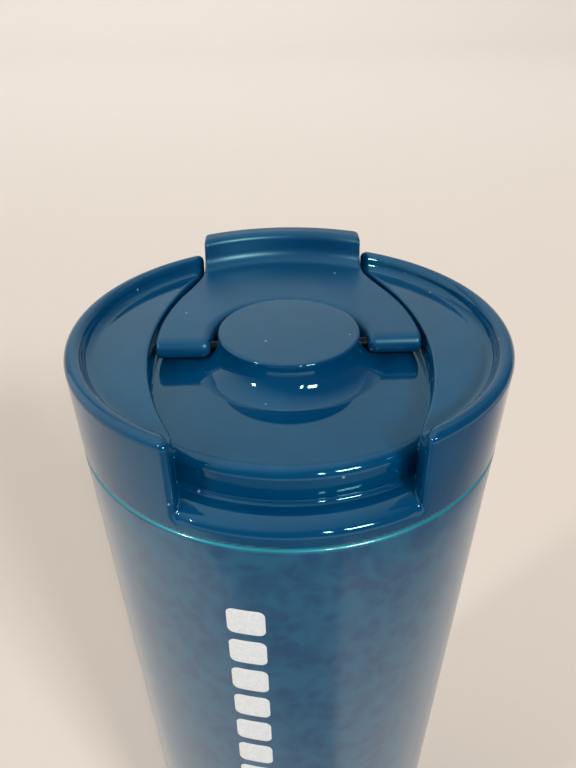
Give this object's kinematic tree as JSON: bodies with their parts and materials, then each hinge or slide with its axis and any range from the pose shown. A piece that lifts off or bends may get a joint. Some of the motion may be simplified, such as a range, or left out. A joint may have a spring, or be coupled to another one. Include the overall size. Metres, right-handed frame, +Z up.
{
  "type": "insulated tumbler with lid",
  "caption": "Tapered double-wall steel tumbler with a screw-on lid, a round hub and a flip lever that swings over to open the drink hole.",
  "frame": {"origin": "on the table, under the middle of the silicone foot", "axes": "+Z up along the tumbler's axis, +Y from the axis towards the lever's tab and the drink hole, -Y towards the parking notch, +X along the hinge pin"},
  "size_m": [0.0818, 0.081, 0.1981],
  "materials": {
    "painted_steel": "glossy clear-coated mottled teal-blue lacquer",
    "vessel_steel": "fine circumferential brushing",
    "base_steel": "satin",
    "lid_gloss": "high-gloss moulded, deep blue",
    "lid_inner": "semi-gloss moulded, blue",
    "silicone_clear": "translucent silicone, satin",
    "silicone_foot": "matte silicone",
    "foam": "closed-cell foam",
    "adhesive": "double-sided tape",
    "pin_steel": "ground stainless rod",
    "dark_metal": "matte grey"
  },
  "bodies": {
    "root": {"outer_shell": "painted_steel", "inner_liner": "vessel_steel", "outer_base": "base_steel", "vacuum_seal": "dark_metal", "getter": "dark_metal", "pad_adhesive": "adhesive", "base_pad": "silicone_foot"},
    "gasket": {"lid_gasket": "silicone_clear"},
    "lid": {"lid_cover": "lid_gloss", "lid_plug": "lid_inner", "insulation_disc": "foam", "spout_seal": "silicone_clear", "vent_seal": "silicone_clear", "hinge_block": "lid_inner", "hub_screws": "pin_steel", "center_cap": "lid_gloss"},
    "lever": {"flip_lever": "lid_gloss", "hinge_pin": "pin_steel", "drink_stopper": "silicone_clear", "vent_pad": "silicone_clear"}
  },
  "joints": [
    {"name": "lid_lift", "type": "slide", "parent": "root", "child": "gasket", "axis": [0, 0, 1], "range_m": [0, 0.024]},
    {"name": "lid_turn", "type": "hinge", "parent": "gasket", "child": "lid", "pos_m": [0, 0, 0.176], "axis": [0, 0, 1], "range_deg": [0, 720]},
    {"name": "lever_flip", "type": "hinge", "parent": "lid", "child": "lever", "pos_m": [0, 0, 0.1899], "axis": [1, 0, 0], "range_deg": [0, 180]}
  ],
  "couplings": [
    {"joint": "lid_lift", "follows": "lid_turn", "m_per_rad": 0.0019098}
  ]
}
